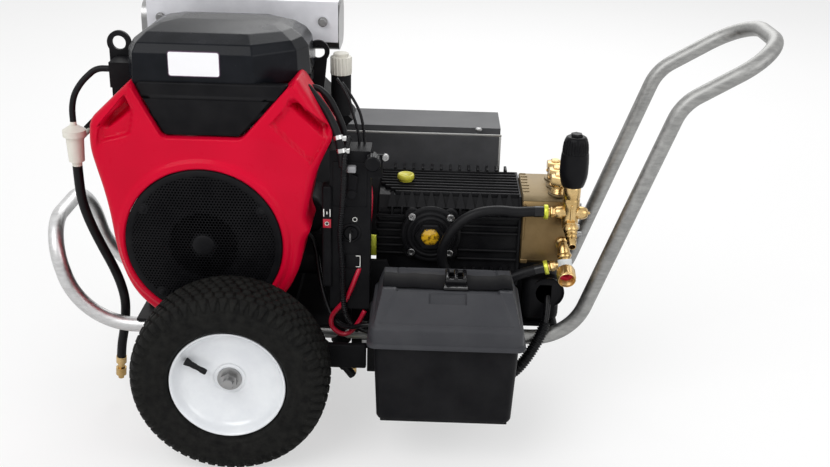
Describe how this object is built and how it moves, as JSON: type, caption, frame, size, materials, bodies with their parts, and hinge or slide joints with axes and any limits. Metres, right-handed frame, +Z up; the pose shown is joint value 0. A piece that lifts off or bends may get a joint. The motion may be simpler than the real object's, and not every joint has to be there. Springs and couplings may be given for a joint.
{
  "type": "pressure washer",
  "caption": "Petrol pressure washer: V-twin engine driving a plunger pump by belts, on a bent tube frame with two pneumatic wheels, push handle and battery case",
  "frame": {"origin": "on the floor under the middle of the whole machine, with the tyres and stand feet at z = 0", "axes": "+X towards the push handle, -Y towards the engine's fan side and battery case, +Z up"},
  "size_m": [1.191, 0.625, 0.682],
  "materials": {
    "aluminium_tube": "brushed",
    "zinc_steel": "satin",
    "black_steel": "satin",
    "rubber": "matte",
    "tyre": "matte",
    "white_steel": "gloss",
    "cast_black": "satin",
    "bare_steel": "satin",
    "black_plastic": "matte",
    "red_cover": "gloss",
    "gloss_black": "gloss",
    "cast_aluminium": "cast",
    "filter_paper": "matte",
    "heat_steel": "satin",
    "white_plastic": "satin",
    "grey_plastic": "satin",
    "guard_steel": "polished",
    "ceramic": "gloss",
    "brass": "machined",
    "yellow_plastic": "gloss",
    "case_plastic": "grained",
    "webbing": "woven",
    "loom_plastic": "satin"
  },
  "bodies": {
    "chassis": {"front_loop_tube": "aluminium_tube", "handle_tube": "aluminium_tube", "side_rails": "aluminium_tube", "base_plate": "black_steel", "axle": "zinc_steel", "frame_fasteners": "zinc_steel", "stand_legs": "black_steel", "stand_feet": "rubber", "pump_risers": "black_steel", "engine_crankcase": "cast_black", "cylinders": "cast_black", "rocker_covers": "cast_black", "fan_cover": "red_cover", "intake_grille": "black_plastic", "carburettor": "cast_aluminium", "air_cleaner_base": "black_plastic", "filter_element": "filter_paper", "muffler": "heat_steel", "heat_shield": "heat_steel", "lifting_eyes": "black_steel", "oil_filter": "black_steel", "starter_motor": "black_steel", "control_panel": "black_plastic", "fuel_filter": "white_plastic", "engine_hoses": "rubber", "fuel_supply_hose": "rubber", "fuel_hose_fitting": "brass", "drive_belts": "rubber", "belt_guard": "guard_steel", "pump_crankcase": "cast_black", "pump_cover": "cast_black", "plungers": "ceramic", "pump_head": "brass", "valve_caps": "brass", "unloader_valve": "brass", "bypass_hose": "rubber", "inlet_elbow": "brass", "battery_tray": "black_steel", "battery_case": "case_plastic", "battery": "black_plastic", "wiring": "loom_plastic"},
    "near_wheel": {"near_tyre": "tyre", "near_rim": "white_steel"},
    "far_wheel": {"far_tyre": "tyre", "far_rim": "white_steel"},
    "engine_shaft": {"crankshaft": "bare_steel", "flywheel_fan": "black_plastic", "engine_pulley": "bare_steel"},
    "pump_drive": {"pump_shaft": "bare_steel", "pump_pulley": "cast_black"},
    "air_cleaner_lid": {"air_cleaner_cover": "gloss_black"},
    "oil_filler_cap": {"oil_cap": "white_plastic"},
    "throttle": {"throttle_lever": "grey_plastic"},
    "choke": {"choke_knob": "black_plastic"},
    "ignition_key": {"key_switch": "bare_steel"},
    "pump_dipstick": {"dipstick_cap": "yellow_plastic"},
    "pressure_knob": {"unloader_knob": "black_plastic"},
    "inlet_coupling": {"inlet_nut": "brass"},
    "case_lid": {"battery_lid": "case_plastic", "lid_strap": "webbing"}
  },
  "joints": [
    {"name": "near_wheel_spin", "type": "hinge", "parent": "chassis", "child": "near_wheel", "pos_m": [-0.25822, -0.2605, 0.1565], "axis": [0, 1, 0], "continuous": true},
    {"name": "far_wheel_spin", "type": "hinge", "parent": "chassis", "child": "far_wheel", "pos_m": [-0.25822, 0.2605, 0.1565], "axis": [0, 1, 0], "continuous": true},
    {"name": "pump_shaft_spin", "type": "hinge", "parent": "chassis", "child": "pump_drive", "pos_m": [0.04778, 0.168, 0.335], "axis": [0, 1, 0], "continuous": true},
    {"name": "engine_shaft_spin", "type": "hinge", "parent": "chassis", "child": "engine_shaft", "pos_m": [-0.30822, 0.168, 0.342], "axis": [0, 1, 0], "continuous": true},
    {"name": "air_cleaner_lift", "type": "slide", "parent": "chassis", "child": "air_cleaner_lid", "axis": [0, 0, 1], "range_m": [0, 0.12]},
    {"name": "oil_cap_lift", "type": "slide", "parent": "chassis", "child": "oil_filler_cap", "axis": [0, 0, 1], "range_m": [0, 0.06]},
    {"name": "throttle_turn", "type": "hinge", "parent": "chassis", "child": "throttle", "pos_m": [-0.07722, -0.152, 0.425], "axis": [0, 1, 0], "range_deg": [-35, 8]},
    {"name": "choke_pull", "type": "slide", "parent": "chassis", "child": "choke", "axis": [0, -1, 0], "range_m": [0, 0.022]},
    {"name": "key_turn", "type": "hinge", "parent": "chassis", "child": "ignition_key", "pos_m": [-0.07822, -0.152, 0.357], "axis": [0, 1, 0], "range_deg": [0, 90]},
    {"name": "dipstick_lift", "type": "slide", "parent": "chassis", "child": "pump_dipstick", "axis": [0, 0, 1], "range_m": [0, 0.11]},
    {"name": "pressure_knob_turn", "type": "hinge", "parent": "chassis", "child": "pressure_knob", "pos_m": [0.27578, -0.096, 0.428], "axis": [0, 0, 1], "range_deg": [0, 1080]},
    {"name": "inlet_nut_spin", "type": "hinge", "parent": "chassis", "child": "inlet_coupling", "pos_m": [0.27378, -0.104, 0.287], "axis": [0, -0.9703, -0.2419], "continuous": true},
    {"name": "case_lid_lift", "type": "slide", "parent": "chassis", "child": "case_lid", "axis": [0, 0, 1], "range_m": [0, 0.15]}
  ],
  "couplings": [
    {"joint": "engine_shaft_spin", "follows": "pump_shaft_spin", "ratio": 2.5452}
  ]
}
